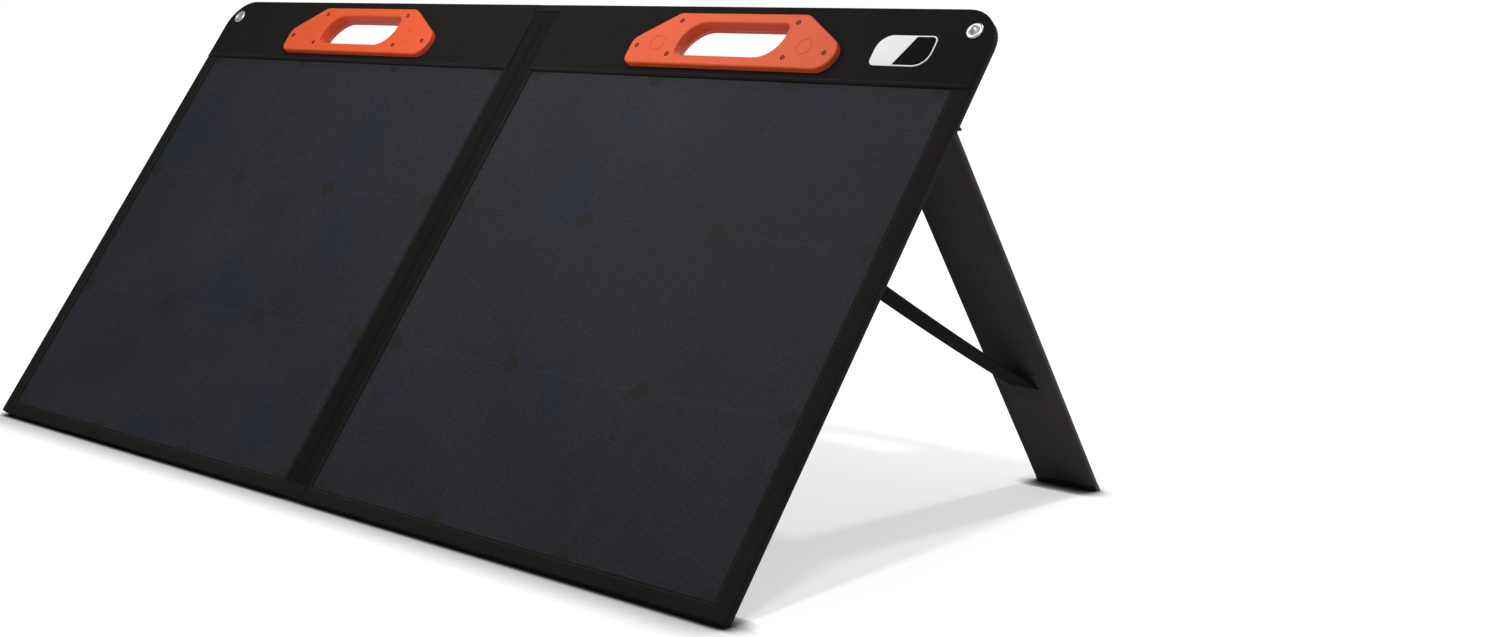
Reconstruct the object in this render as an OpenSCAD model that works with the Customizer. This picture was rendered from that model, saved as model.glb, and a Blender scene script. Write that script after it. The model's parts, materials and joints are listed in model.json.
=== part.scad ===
// Folding solar charger: two fabric-covered panels joined by a soft fold, each with a
// moulded carry handle, a corner eyelet and a strapped fold-out leg, and a zipped
// accessory pouch on the back of the left panel.
// Lengths are in millimetres. On a panel, x runs along the width, y up the slope and
// z out of the front face, with z = 0 on the back cover.

/* [Panels] */
// Width of one panel from the fold line to its outer edge
panel_w = 534; // [500:1:600]
// Height of a panel along its slope
panel_h = 574; // [560:1:640]
// Angle of the open panels above the ground
tilt = 52; // [42:1:58]
// Radius of the two outer top corners
corner_r = 35; // [10:1:45]
// Half width of the soft fold between the two panels
fold_half = 16; // [14:1:20]
// Height of the sewn hem along the bottom edge
hem_h = 9; // [4:0.5:10]
// Width of the binding along the outer side and the top
binding_w = 2; // [1:0.1:4]

/* [Layers] */
// Thickness of the back cover
back_t = 1.2; // [0.8:0.1:2]
// Thickness of the backing board
board_t = 3.8; // [2:0.1:6]
// Thickness of the laminate's back sheet
sheet_t = 1; // [0.6:0.1:2]
// Thickness of the clear front film, cells included
film_t = 1.6; // [1:0.1:3]
// Thickness of the fabric frame round the window
frame_t = 1; // [0.6:0.1:2]
// Thickness of the stiff band along the top
band_t = 2; // [1:0.1:4]

/* [Window and cells] */
// Fabric left between the window and the outer side
window_side = 18; // [8:0.5:25]
// Distance from the fold line to the window
window_inner = 21; // [20:0.5:28]
// Fabric left below the window
window_bottom = 14; // [13:0.5:15]
// Height of the top band, which ends at the window
band_h = 81; // [78:1:100]
// How far the laminate runs under the fabric round the window
lap = 3; // [1:0.5:3.5]
// Side of a square cell
cell_side = 156.75; // [100:0.25:158]
// Distance from one cell to the next
cell_pitch = 159; // [158.5:0.5:170]
// Length cut off each cell corner
cell_cut = 8.3; // [2:0.1:20]
// Thickness of a cell
cell_t = 0.4; // [0.2:0.1:0.8]

/* [Handles] */
// Length of a handle
handle_len = 248; // [230:1:270]
// Height of a handle
handle_h = 59; // [56:1:66]
// How far each handle shell stands off the panel
handle_rise = 6.5; // [5.5:0.5:12]
// Distance from the panel's top edge down to the handle's middle
handle_drop = 42; // [38:0.5:46]
// Bevel round the outer face of a shell
handle_bevel = 2; // [0.5:0.1:3]
// Length of the long slope at the handle's left end
slope_left = 45; // [30:1:60]
// Length of the slope at the handle's right end
slope_right = 51; // [30:1:60]
// Height of the upright side at the left end
side_rise = 28; // [15:1:32]
// Height of the right tip above the lower edge
tip_rise = 25.5; // [20:0.5:32]
// How far the lower right corner is tucked in under the tip
tip_tuck = 9; // [2:1:15]
// Width of the hand opening
opening_w = 122; // [100:1:126]
// Height of the hand opening
opening_h = 37; // [30:1:38]
// Offset of the hand opening from the handle's middle
opening_shift = -4; // [-6:0.5:0]
// Radius of the opening's upper left and lower right corners
opening_big_r = 26; // [10:1:28]
// Radius of the opening's other two corners
opening_small_r = 6; // [3:0.5:8]
// Wall of the collar that lines the opening through the panel
collar_wall = 2.5; // [1.5:0.1:3]

/* [Handle screws and magnets] */
// Diameter of a handle screw
screw_d = 3; // [2:0.1:3.5]
// Diameter of a screw head
screw_head_d = 5.6; // [4:0.1:6]
// Height of a screw head
screw_head_h = 1.6; // [1:0.1:2]
// Distance of the upper screws from the handle's upper edge
screw_edge = 9.5; // [7:0.5:12]
// Diameter of a closing magnet
magnet_d = 12; // [8:0.5:14]
// Thickness of a closing magnet
magnet_t = 3; // [2:0.1:3.5]
// Distance of each magnet from the handle's middle
magnet_x = 88; // [84:0.5:92]

/* [Eyelets] */
// Bore of an eyelet
eyelet_bore = 8; // [6:0.1:9]
// Outer diameter of an eyelet's flange
eyelet_od = 16; // [16:0.1:24]
// Wall of an eyelet's barrel
eyelet_wall = 0.9; // [0.6:0.1:1.4]
// Height of an eyelet's domed flange
eyelet_rise = 1.8; // [1.2:0.1:3]
// Thickness of the washer behind an eyelet
washer_t = 1.2; // [0.8:0.1:2]
// Distance from a panel's outer edge to the middle of its eyelet
eyelet_side = 20; // [16:0.5:35]
// Distance from a panel's top edge to the middle of its eyelet
eyelet_top = 23; // [18:0.5:35]

/* [Legs] */
// Width of a leg
leg_w = 66; // [50:1:70]
// Distance from a panel's bottom edge to the foot of a folded leg
foot_clear = 6; // [4:1:40]
// Thickness of a leg
leg_t = 5; // [4:0.1:8]
// Distance between a handle and the leg tab below it
tab_clear = 15.5; // [4:0.5:20]
// Distance from the fold line to the middle of the right leg
right_leg_x = 495; // [300:1:497]
// Distance from the fold line to the middle of the left leg
left_leg_x = 194; // [80:1:205]
// Thickness of a leg's fabric sleeve
sleeve_t = 1; // [0.6:0.1:1.4]
// Height of the moulded foot at the end of a leg
foot_h = 5; // [3:0.5:12]
// Gap between a folded leg and the back cover
leg_gap = 2; // [1.8:0.1:4]
// Thickness of the fabric tab that a leg hangs from
tab_t = 1.4; // [1:0.1:1.6]
// Height of the sewn part of a leg tab
tab_len = 27; // [15:1:30]
// Width that a leg tab has more than its leg, on each side
tab_margin = 4; // [1:0.5:6]

/* [Straps] */
// Width of a leg strap
strap_w = 30; // [15:1:40]
// Thickness of a leg strap
strap_t = 1.4; // [1:0.1:2.5]
// Distance from the leg hinge down the panel to the strap's panel end
strap_fall = 142; // [80:1:210]
// Distance from a leg's hinge to the strap's end on it
strap_down = 311; // [200:1:400]
// Length of the sewn patch at each end of a strap
patch_len = 34; // [20:1:60]
// Thickness of a sewn patch
patch_t = 1.2; // [0.8:0.1:1.4]

/* [Pouch] */
// Width of the pouch
pouch_w = 194; // [150:1:205]
// Height of the pouch
pouch_h = 372; // [300:1:410]
// Depth of the pouch
pouch_depth = 28; // [25:0.5:34]
// Distance from the panel's outer edge to the pouch
pouch_side = 90; // [85:1:110]
// Distance from the panel's bottom edge to the pouch
pouch_bottom = 32; // [31:0.5:60]
// Radius of the pouch's corners
pouch_r = 24; // [8:1:40]
// Thickness of the pouch's walls
pouch_wall = 1.6; // [1:0.1:3]
// Thickness of the pouch's sewn back sheet
pouch_sheet_t = 1; // [0.6:0.1:2]
// Thickness of the pouch's stiff cover
cover_t = 2.2; // [1:0.1:4]
// Diameter of the piping round the base and the cover
piping_d = 2.6; // [1.5:0.1:4]
// Depth of the zip line behind the back cover
zip_depth = 14.7; // [12:0.1:18]
// Width of the closed zip
zip_w = 3.4; // [2.5:0.1:5]

/* [Zip slider and pull] */
// Length of the slider along the zip
slider_len = 10; // [7:0.5:14]
// Width of the slider across the zip
slider_w = 8; // [6:0.5:10]
// Thickness of the slider
slider_t = 3; // [2:0.1:4]
// Height of the closed slider up the slope
slider_up = 56; // [55:0.5:80]
// Diameter of the pin that the pull swings on
pin_d = 1.6; // [1.2:0.1:2.4]
// Length of the pull below its pin
pull_len = 20; // [12:0.5:22]
// Width of the pull
pull_w = 6; // [5:0.5:9]
// Thickness of the pull
pull_t = 1.2; // [0.8:0.1:2]

/* [Junction box] */
// Width of the junction box
box_w = 90; // [60:1:120]
// Height of the junction box up the slope
box_h = 46; // [36:1:60]
// Depth of the junction box without its lid
box_depth = 14; // [12:0.5:16]
// Wall of the junction box
box_wall = 1.8; // [1.2:0.1:2.5]
// Thickness of the junction box lid
lid_t = 2; // [1:0.1:3]
// Thickness of the circuit board
circuit_t = 1.6; // [0.8:0.1:2.4]
// Distance from the pouch's top to the junction box
box_drop = 16; // [12:1:60]
// Diameter of the cable gland's nut across its corners
gland_d = 12; // [9:0.5:12]
// Length of the cable gland
gland_len = 14; // [8:0.5:24]

/* [Fits] */
// Gap between parts that move past each other
fit_gap = 0.3; // [0.2:0.05:0.5]
// Height of the fold's lower end above the panels' bottom edge
spine_lift = 1; // [0.5:0.5:4]
// Width of the crease down the middle of the fold
crease_w = 4; // [2:0.5:8]
// Depth of that crease
crease_d = 0.8; // [0.3:0.1:1.2]
// Width of the ribbon that wires the two panels together
ribbon_w = 22; // [10:1:40]
// Thickness of that ribbon
ribbon_t = 0.6; // [0.3:0.1:1]

/* [Hidden] */

$fn = 48;
fabric = "#26221f";
webbing = "#171615";
orange = "#ee623a";
film_blue = "#1d222c";
nickel = "#c9c9c6";
board_grey = "#8a8781";
arc_steps = 8;

// Levels through a panel, from its back cover to its front
board_top = back_t + board_t;
sheet_top = board_top + sheet_t;
film_top = sheet_top + film_t;
frame_top = film_top + frame_t;
band_top = film_top + band_t;
shell_top = band_top + handle_rise;

// Window and laminate
window_x1 = panel_w - window_side;
window_y1 = panel_h - band_h;
window_w = window_x1 - window_inner;
window_h = window_y1 - window_bottom;
cells_across = floor((window_w + cell_pitch - cell_side) / cell_pitch);
cells_up = floor((window_h + cell_pitch - cell_side) / cell_pitch);
top_board_y = window_y1 + lap + fit_gap;

// Handle
handle_x = panel_w / 2;
handle_y = panel_h - handle_drop;
half_len = handle_len / 2;
half_h = handle_h / 2;
collar_split = film_top / 2;
screw_recess = screw_head_h + fit_gap;
screw_end = handle_rise - 2;
screw_spots = [
    [-half_len + slope_left + 6, half_h - screw_edge],
    [half_len - slope_right - 8, half_h - screw_edge],
    [half_len - 15, tip_rise - half_h - 8],
    [opening_shift + opening_w / 2 + 9, -opening_h / 2],
    [opening_shift - opening_w / 2 - 7, -opening_h / 2],
    [-half_len + 9, side_rise - half_h - 8]
];

// Eyelet
eyelet_r = eyelet_bore / 2 + eyelet_wall;
eyelet_x = panel_w - eyelet_side;
eyelet_y = panel_h - eyelet_top;
eyelet_lip = 0.8;
eyelet_edge = 0.6;

// Leg hinge, in the plane across the fold: y up the slope, z out of the front
hinge_off = leg_t / 2 + leg_gap;
leg_up = handle_y - half_h - tab_clear - tab_len;
leg_len = leg_up - foot_clear;
strap_up = leg_up - strap_fall;
hinge_z = leg_up * sin(tilt) - hinge_off * cos(tilt);
hinge_y = leg_up * cos(tilt) + hinge_off * sin(tilt);
leg_reach = norm([leg_len, leg_t / 2]);
leg_slant = asin(hinge_z / leg_reach) - atan2(leg_t / 2, leg_len);
leg_open = 180 - tilt - leg_slant;
tab_r = leg_t / 2 + fit_gap;

// The part stands with its origin under the middle of its footprint
front_y = -frame_top * sin(tilt);
foot_cut = leg_t / tan(leg_slant);
foot_y = hinge_y + (leg_len + foot_cut) * cos(leg_slant) + leg_t / 2 * sin(leg_slant);
base_shift = -(front_y + foot_y) / 2;

// Strap ends in the same plane
hinge_at = [leg_up, -hinge_off];
leg_along = [-cos(leg_open), -sin(leg_open)];
leg_inward = [-sin(leg_open), cos(leg_open)];
strap_foot = [strap_up, -patch_t];
strap_head = hinge_at + strap_down * leg_along + (leg_t / 2 + patch_t + fit_gap) * leg_inward;
strap_dir = (strap_head - strap_foot) / norm(strap_head - strap_foot);
strap_side = strap_t / 2 * [-strap_dir[1], strap_dir[0]];

// Pouch and zip
pouch_x = pouch_side - panel_w;
pouch_top = pouch_bottom + pouch_h;
cover_z = -pouch_depth;
zip_in = zip_w / 2 - zip_depth;
zip_out = -zip_w / 2 - zip_depth;
slider_x = pouch_x - fit_gap - slider_t;
pull_x = slider_x - fit_gap - pull_t;
pin_head = 0.6;

// Junction box
box_x = pouch_x + pouch_w / 2;
box_y = pouch_top - box_drop - box_h;
box_floor = -pouch_sheet_t - box_wall;
box_rim = -pouch_sheet_t - box_depth;
rail_h = 3;
rail_w = 4;

// Points round a corner of an outline, or the corner itself where its radius is zero
function unit(v) = v / norm(v);
function turn(a) = (a + 540) % 360 - 180;
function corner(before, at, after, r) = r <= 0 ? [at] :
    let (
        a = unit(before - at),
        b = unit(after - at),
        half = acos(a * b) / 2,
        mid = at + unit(a + b) * r / sin(half),
        from = at + a * r / tan(half) - mid,
        to = at + b * r / tan(half) - mid,
        start = atan2(from[1], from[0]),
        sweep = turn(atan2(to[1], to[0]) - start)
    )
    [for (i = [0 : arc_steps]) mid + r * [cos(start + sweep * i / arc_steps), sin(start + sweep * i / arc_steps)]];
function rounded(points, radii) = let (n = len(points))
    [for (i = [0 : n - 1]) each corner(points[(i + n - 1) % n], points[i], points[(i + 1) % n], radii[i])];
function box_points(x0, y0, x1, y1) = [[x0, y0], [x1, y0], [x1, y1], [x0, y1]];

// A panel's own axes, tilted and set on the ground
module place() translate([0, base_shift, 0]) rotate([tilt, 0, 0]) children();
module slab(z0, z1) translate([0, 0, z0]) linear_extrude(z1 - z0) children();
module on_side(left) if (left) mirror([1, 0, 0]) children(); else children();
function side(left) = left ? -1 : 1;
// Extrudes a shape drawn up the slope and out of the front, centred across the width
module across(width) rotate([90, 0, 90]) linear_extrude(width, center = true) children();

module inner_outline(y0, y1, r = 0) polygon(rounded(
    box_points(fold_half, y0, panel_w - binding_w, y1), [0, 0, r, 0]));
module laminate_outline() polygon(box_points(
    window_inner - lap, window_bottom - lap, window_x1 + lap, window_y1 + lap));
module window_outline() polygon(box_points(window_inner, window_bottom, window_x1, window_y1));

module opening_outline(grow) let (
        x = opening_w / 2 + grow,
        y = opening_h / 2 + grow,
        big = opening_big_r + grow,
        small = opening_small_r + grow
    )
    polygon(rounded(box_points(-x, -y, x, y), [small, big, small, big]));
handle_points = [
    [-half_len, -half_h],
    [half_len - tip_tuck, -half_h],
    [half_len, tip_rise - half_h],
    [half_len - slope_right, half_h],
    [slope_left - half_len, half_h],
    [-half_len, side_rise - half_h]
];
module handle_outline() polygon(rounded(handle_points, [8, 12, 8, 6, 6, 12]));

// Holes that a handle and an eyelet need through the layers of the top band
module top_holes(left) {
    translate([side(left) * handle_x, handle_y]) {
        translate([opening_shift, 0]) opening_outline(collar_wall + fit_gap);
        for (spot = screw_spots) translate(spot) circle(d = screw_d + 2 * fit_gap);
    }
    translate([side(left) * eyelet_x, eyelet_y]) circle(eyelet_r + fit_gap);
}

module back_cover(left) color(fabric) place() slab(0, back_t) difference() {
    on_side(left) inner_outline(hem_h, panel_h - binding_w, corner_r - binding_w);
    top_holes(left);
}

module backing_board(left) color(board_grey) place() on_side(left)
    slab(back_t, board_top) inner_outline(hem_h, window_y1 + lap);

// The top band is stiffened by four boards that leave a square hole for the collar
module top_board(left) let (
        middle = side(left) * handle_x + opening_shift,
        reach = opening_w / 2 + collar_wall + fit_gap,
        rise = opening_h / 2 + collar_wall + fit_gap
    )
    color(board_grey) place() slab(back_t, film_top) difference() {
        on_side(left) inner_outline(top_board_y, panel_h - binding_w, corner_r - binding_w);
        polygon(box_points(middle - reach, handle_y - rise, middle + reach, handle_y + rise));
        for (end = [-1, 1]) translate([middle + end * reach - fit_gap / 2, 0]) square([fit_gap, 2 * panel_h]);
        top_holes(left);
    }

module back_sheet(left) color("#d9d9d4") place() on_side(left) slab(board_top, sheet_top) laminate_outline();

module cell_grid() let (
        x0 = window_inner + (window_w - (cells_across - 1) * cell_pitch) / 2,
        y0 = window_bottom + (window_h - (cells_up - 1) * cell_pitch) / 2,
        half = cell_side / 2,
        flat = half - cell_cut
    )
    for (column = [0 : cells_across - 1], row = [0 : cells_up - 1])
        translate([x0 + column * cell_pitch, y0 + row * cell_pitch]) polygon([
            [-flat, -half], [flat, -half], [half, -flat], [half, flat],
            [flat, half], [-flat, half], [-half, flat], [-half, -flat]
        ]);

module solar_cells(left) color("#10141d") place() on_side(left) slab(sheet_top, sheet_top + cell_t) cell_grid();

module front_film(left) color(film_blue) place() on_side(left) difference() {
    slab(sheet_top, film_top) laminate_outline();
    slab(sheet_top - 1, sheet_top + cell_t) cell_grid();
}

// The frame laps over the laminate's edge and fills the border beside it
module front_frame(left) color(fabric) place() on_side(left) {
    slab(film_top, frame_top) difference() {
        polygon(box_points(fold_half, hem_h, panel_w, window_y1));
        window_outline();
    }
    slab(board_top, film_top) difference() {
        inner_outline(hem_h, window_y1 + lap);
        laminate_outline();
    }
}

module top_band(left) color(fabric) place() slab(film_top, band_top) difference() {
    on_side(left) polygon(rounded(box_points(fold_half, window_y1, panel_w, panel_h), [0, 0, corner_r, 0]));
    top_holes(left);
}

module edge_binding(left) color(webbing) place() on_side(left) slab(0, film_top) difference() {
    polygon(rounded(box_points(fold_half, hem_h, panel_w, panel_h), [0, 0, corner_r, 0]));
    inner_outline(hem_h - 1, panel_h - binding_w, corner_r - binding_w);
}

module bottom_hem(left) color(webbing) place() on_side(left)
    slab(0, frame_top) polygon(box_points(fold_half, 0, panel_w, hem_h));

// Wedges that bevel the upper edges of an outline, one along each of its sides
module bevel_wedges(points, size) for (i = [0 : len(points) - 1]) let (
        from = points[i],
        to = points[(i + 1) % len(points)]
    )
    translate([(from[0] + to[0]) / 2, (from[1] + to[1]) / 2, handle_rise])
        rotate([0, 0, atan2(to[1] - from[1], to[0] - from[0])]) across(norm(to - from))
            polygon([[size + 1, 1], [-1, -size - 1], [-1, 1]]);

// One half of a handle, standing off z = 0 with its bevelled face up
module handle_shell() difference() {
    slab(0, handle_rise) handle_outline();
    bevel_wedges(handle_points, handle_bevel);
}
module opening_cut() translate([opening_shift, 0, 0]) {
    slab(-panel_h, panel_h) opening_outline(0);
    slab(handle_rise - handle_bevel / 2, panel_h) opening_outline(handle_bevel / 2);
}
module collar(depth) translate([opening_shift, 0, 0]) slab(-depth, 0.5) opening_outline(collar_wall);
module at_handle(left) place() translate([side(left) * handle_x, handle_y, 0]) children();

module handle_front(left) color(orange) at_handle(left) translate([0, 0, band_top]) difference() {
    union() {
        handle_shell();
        collar(band_top - collar_split - fit_gap);
    }
    opening_cut();
    for (spot = screw_spots) translate(spot) {
        translate([0, 0, -1]) cylinder(d = screw_d + fit_gap, h = handle_rise + 2);
        translate([0, 0, handle_rise - screw_recess]) cylinder(d = screw_head_d + fit_gap, h = handle_rise);
    }
    for (x = [-magnet_x, magnet_x])
        translate([x, 0, -1]) cylinder(d = magnet_d + fit_gap, h = magnet_t + 1);
}

module handle_back(left) color(orange) at_handle(left) mirror([0, 0, 1]) difference() {
    union() {
        handle_shell();
        collar(collar_split);
    }
    opening_cut();
    for (spot = screw_spots) translate([spot[0], spot[1], -1])
        cylinder(d = screw_d + fit_gap, h = screw_end + fit_gap + 1);
}

module handle_screws(left) color("#2b2b2b") at_handle(left) for (spot = screw_spots) translate(spot) {
    translate([0, 0, -screw_end]) cylinder(d = screw_d, h = screw_end + shell_top - screw_recess);
    translate([0, 0, shell_top - screw_recess]) cylinder(d = screw_head_d, h = screw_head_h);
}

module handle_magnets(left) color(nickel) at_handle(left) for (x = [-magnet_x, magnet_x])
    translate([x, 0, band_top]) cylinder(d = magnet_d, h = magnet_t);

// An eyelet is a flanged barrel, rolled over a washer at the back
module at_eyelet(left) place() translate([side(left) * eyelet_x, eyelet_y, 0]) children();
module eyelet(left) color(nickel) at_eyelet(left) rotate_extrude() let (
        bore = eyelet_bore / 2,
        rim = eyelet_od / 2,
        low = -washer_t - eyelet_lip,
        high = band_top + eyelet_rise
    )
    polygon([
        [bore, low], [eyelet_r + 1.4, low], [eyelet_r + 1.4, -washer_t], [eyelet_r, -washer_t],
        [eyelet_r, band_top], [rim, band_top], [rim - eyelet_edge, high - 2 * eyelet_edge],
        [rim - 3 * eyelet_edge, high - eyelet_edge / 3], [bore + 3 * eyelet_edge, high],
        [bore + eyelet_edge, high - eyelet_edge / 3], [bore, high - eyelet_edge]
    ]);
module eyelet_washer(left) color(nickel) at_eyelet(left) slab(-washer_t, 0) difference() {
    circle(d = eyelet_od - 2 * eyelet_edge);
    circle(eyelet_r + fit_gap / 2);
}

// A leg runs down from its hinge along negative y, swung out by its open angle
module at_leg(left) place()
    translate([left ? -left_leg_x : right_leg_x, leg_up, -hinge_off]) children();
module swing() rotate([leg_open, 0, 0]) children();
module leg_block(width, y0, y1, depth) translate([-width / 2, y0, -depth / 2]) cube([width, y1 - y0, depth]);

module leg_sleeve(left) color(fabric) at_leg(left) swing() difference() {
    union() {
        leg_block(leg_w, foot_h - leg_len, 0, leg_t);
        rotate([0, 90, 0]) cylinder(d = leg_t, h = leg_w, center = true);
        translate([-strap_w / 2, -strap_down - patch_len / 2, leg_t / 2 - sleeve_t])
            cube([strap_w, patch_len, sleeve_t + patch_t]);
    }
    leg_block(leg_w - 2 * sleeve_t, -leg_len, -leg_t, leg_t - 2 * sleeve_t);
}
// The leg's board ends in a foot that is cut flat to the ground
module leg_board(left) color(board_grey) at_leg(left) swing() {
    leg_block(leg_w - 2 * sleeve_t, -leg_len, -leg_t - fit_gap, leg_t - 2 * sleeve_t);
    across(leg_w) polygon([
        [foot_h - leg_len, -leg_t / 2], [-leg_len - foot_cut, -leg_t / 2],
        [-leg_len, leg_t / 2], [foot_h - leg_len, leg_t / 2]
    ]);
}

// The tab is sewn to the back cover and hoods the leg's round upper end
module leg_tab(left) color(webbing) at_leg(left) {
    translate([-leg_w / 2 - tab_margin, 0, hinge_off - tab_t]) cube([leg_w + 2 * tab_margin, tab_len, tab_t]);
    across(leg_w + 2 * tab_margin) intersection() {
        difference() {
            circle(tab_r + tab_t);
            circle(tab_r);
        }
        polygon([[0, 0], 2 * hinge_off * [cos(40), -sin(40)], 2 * hinge_off * [2, 0], 2 * hinge_off * [0, 2]]);
    }
}

function on_patch(p) = p + strap_dir * (-patch_t - p[1]) / strap_dir[1];
function on_leg(p) = p + strap_dir * ((strap_head - p) * leg_inward) / (strap_dir * leg_inward);
module leg_strap(left) color(webbing) place() translate([left ? -left_leg_x : right_leg_x, 0, 0])
    across(strap_w) polygon([
        on_patch(strap_foot + strap_side), on_patch(strap_foot - strap_side),
        on_leg(strap_head - strap_side), on_leg(strap_head + strap_side)
    ]);
module strap_patch(left) color(webbing) place()
    translate([(left ? -left_leg_x : right_leg_x) - strap_w / 2, strap_up - patch_len / 2, -patch_t])
        cube([strap_w, patch_len, patch_t]);

// The soft fold: a creased strip in front, a flat one behind and a ribbon between them
module spine_front() color(fabric) place() translate([0, panel_h, 0]) rotate([90, 0, 0])
    linear_extrude(panel_h - spine_lift) polygon([
        [fit_gap - fold_half, film_top - crease_d], [fold_half, film_top - crease_d],
        [fold_half, frame_top], [crease_w / 2, frame_top], [0, frame_top - crease_d],
        [-crease_w / 2, frame_top], [fit_gap - fold_half, frame_top]
    ]);
module spine_back() color(fabric) place() slab(0, back_t)
    polygon(box_points(fit_gap - fold_half, spine_lift, fold_half, panel_h));
module link_ribbon() color("#b5783c") place() slab(board_top, board_top + ribbon_t)
    polygon(box_points(fit_gap - fold_half, window_bottom + ribbon_w, fold_half, window_bottom + 2 * ribbon_w));

module pouch_outline(grow) polygon(rounded(
    box_points(pouch_x - grow, pouch_bottom - grow, pouch_x + pouch_w + grow, pouch_top + grow),
    [for (i = [0 : 3]) pouch_r + grow]));
module pouch_ring(outer, inner) difference() {
    pouch_outline(outer);
    pouch_outline(inner);
}
// The zip runs along the top and the outer side, and the other two sides fold
module zip_half() polygon([
    [pouch_x - pouch_w, pouch_bottom], [pouch_x, pouch_bottom], [pouch_x + pouch_w, pouch_top],
    [pouch_x + pouch_w, pouch_top + pouch_h], [pouch_x - pouch_w, pouch_top + pouch_h]
]);

module pouch_back() color(fabric) place() slab(-pouch_sheet_t, 0) pouch_outline(0);
module pouch_gusset() color(fabric) place() slab(zip_in, -pouch_sheet_t) pouch_ring(0, -pouch_wall);
module pouch_base_piping() color(webbing) place() slab(-piping_d, 0) pouch_ring(piping_d, 0);
module pouch_fold_strip() color(fabric) place() slab(zip_out + fit_gap, zip_in) difference() {
    pouch_ring(0, -pouch_wall);
    zip_half();
}
module zip_tape() intersection() {
    pouch_ring(0, -pouch_wall);
    zip_half();
}
module zip_base_tape() color(webbing) place() slab(fit_gap / 2 - zip_depth, zip_in) zip_tape();
module zip_cover_tape() color(webbing) place() slab(zip_out, -fit_gap / 2 - zip_depth) zip_tape();
module pouch_cover() color(fabric) place() {
    slab(cover_z + cover_t, zip_out) pouch_ring(0, -pouch_wall);
    slab(cover_z, cover_z + cover_t) pouch_outline(0);
}
module pouch_cover_piping() color(webbing) place() slab(cover_z, cover_z + piping_d) pouch_ring(piping_d, 0);

// The slider carries a headed pin along x, and the pull hangs plumb from it
module zip_slider() color("#3a3a3a") place() translate([0, slider_up, -zip_depth]) {
    translate([slider_x + slider_t / 2, 0, 0]) across(slider_t) polygon([
        [-slider_len / 2, -slider_w / 4], [0, -slider_w / 2], [slider_len / 2, -slider_w / 2],
        [slider_len / 2, slider_w / 2], [0, slider_w / 2], [-slider_len / 2, slider_w / 4]
    ]);
    translate([slider_x, 0, 0]) rotate([0, -90, 0]) cylinder(d = pin_d, h = pull_t + 2 * fit_gap);
    translate([pull_x - fit_gap, 0, 0]) rotate([0, -90, 0]) cylinder(d = 2 * pin_d, h = pin_head);
}
module zip_pull() color("#3a3a3a") place() translate([pull_x + pull_t / 2, slider_up, -zip_depth])
    rotate([-tilt, 0, 0]) across(pull_t) difference() {
        polygon(rounded(box_points(-pull_w / 2, -pull_len, pull_w / 2, pull_w / 2),
            [pull_w / 3, pull_w / 3, pull_w / 3, pull_w / 3]));
        circle(d = pin_d + 2 * fit_gap);
    }

module box_outline(inset) polygon(box_points(
    box_x - box_w / 2 + inset, box_y + inset, box_x + box_w / 2 - inset, box_y + box_h - inset));
module junction_base() color("#202020") place() {
    difference() {
        slab(box_rim, -pouch_sheet_t) box_outline(0);
        slab(box_rim - 1, box_floor) box_outline(box_wall);
    }
    for (end = [-1, 1]) translate([box_x + end * box_w / 4 - rail_w / 2, box_y + box_wall, box_floor - rail_h])
        cube([rail_w, box_h - 2 * box_wall, rail_h]);
}
module junction_board() color("#24552f") place()
    slab(box_floor - rail_h - circuit_t, box_floor - rail_h) box_outline(box_wall + fit_gap);
module junction_lid() color("#202020") place() slab(box_rim - lid_t, box_rim) box_outline(0);
module cable_gland() color("#303030") place()
    translate([box_x, box_y, -pouch_sheet_t - box_depth / 2]) rotate([90, 0, 0]) {
        cylinder(d = gland_d, h = gland_len / 2, $fn = 6);
        cylinder(d = gland_d - 3, h = gland_len);
    }

back_cover(false);  // right_back_cover
backing_board(false);  // right_backing_board
top_board(false);  // right_top_board
back_sheet(false);  // right_back_sheet
solar_cells(false);  // right_solar_cells
front_film(false);  // right_front_film
front_frame(false);  // right_front_frame
top_band(false);  // right_top_band
edge_binding(false);  // right_edge_binding
bottom_hem(false);  // right_bottom_hem
handle_front(false);  // right_handle_front
handle_back(false);  // right_handle_back
handle_screws(false);  // right_handle_screws
handle_magnets(false);  // right_handle_magnets
eyelet(false);  // right_eyelet
eyelet_washer(false);  // right_eyelet_washer
leg_sleeve(false);  // right_leg_sleeve
leg_board(false);  // right_leg_board
leg_tab(false);  // right_leg_tab
leg_strap(false);  // right_leg_strap
strap_patch(false);  // right_strap_patch
back_cover(true);  // left_back_cover
backing_board(true);  // left_backing_board
top_board(true);  // left_top_board
back_sheet(true);  // left_back_sheet
solar_cells(true);  // left_solar_cells
front_film(true);  // left_front_film
front_frame(true);  // left_front_frame
top_band(true);  // left_top_band
edge_binding(true);  // left_edge_binding
bottom_hem(true);  // left_bottom_hem
handle_front(true);  // left_handle_front
handle_back(true);  // left_handle_back
handle_screws(true);  // left_handle_screws
handle_magnets(true);  // left_handle_magnets
eyelet(true);  // left_eyelet
eyelet_washer(true);  // left_eyelet_washer
leg_sleeve(true);  // left_leg_sleeve
leg_board(true);  // left_leg_board
leg_tab(true);  // left_leg_tab
leg_strap(true);  // left_leg_strap
strap_patch(true);  // left_strap_patch
spine_front();
spine_back();
link_ribbon();
pouch_back();
pouch_gusset();
pouch_base_piping();
pouch_fold_strip();
zip_base_tape();
pouch_cover();
pouch_cover_piping();
zip_cover_tape();
zip_slider();
zip_pull();
junction_base();
junction_board();
junction_lid();
cable_gland();
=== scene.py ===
import json
import math

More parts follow.
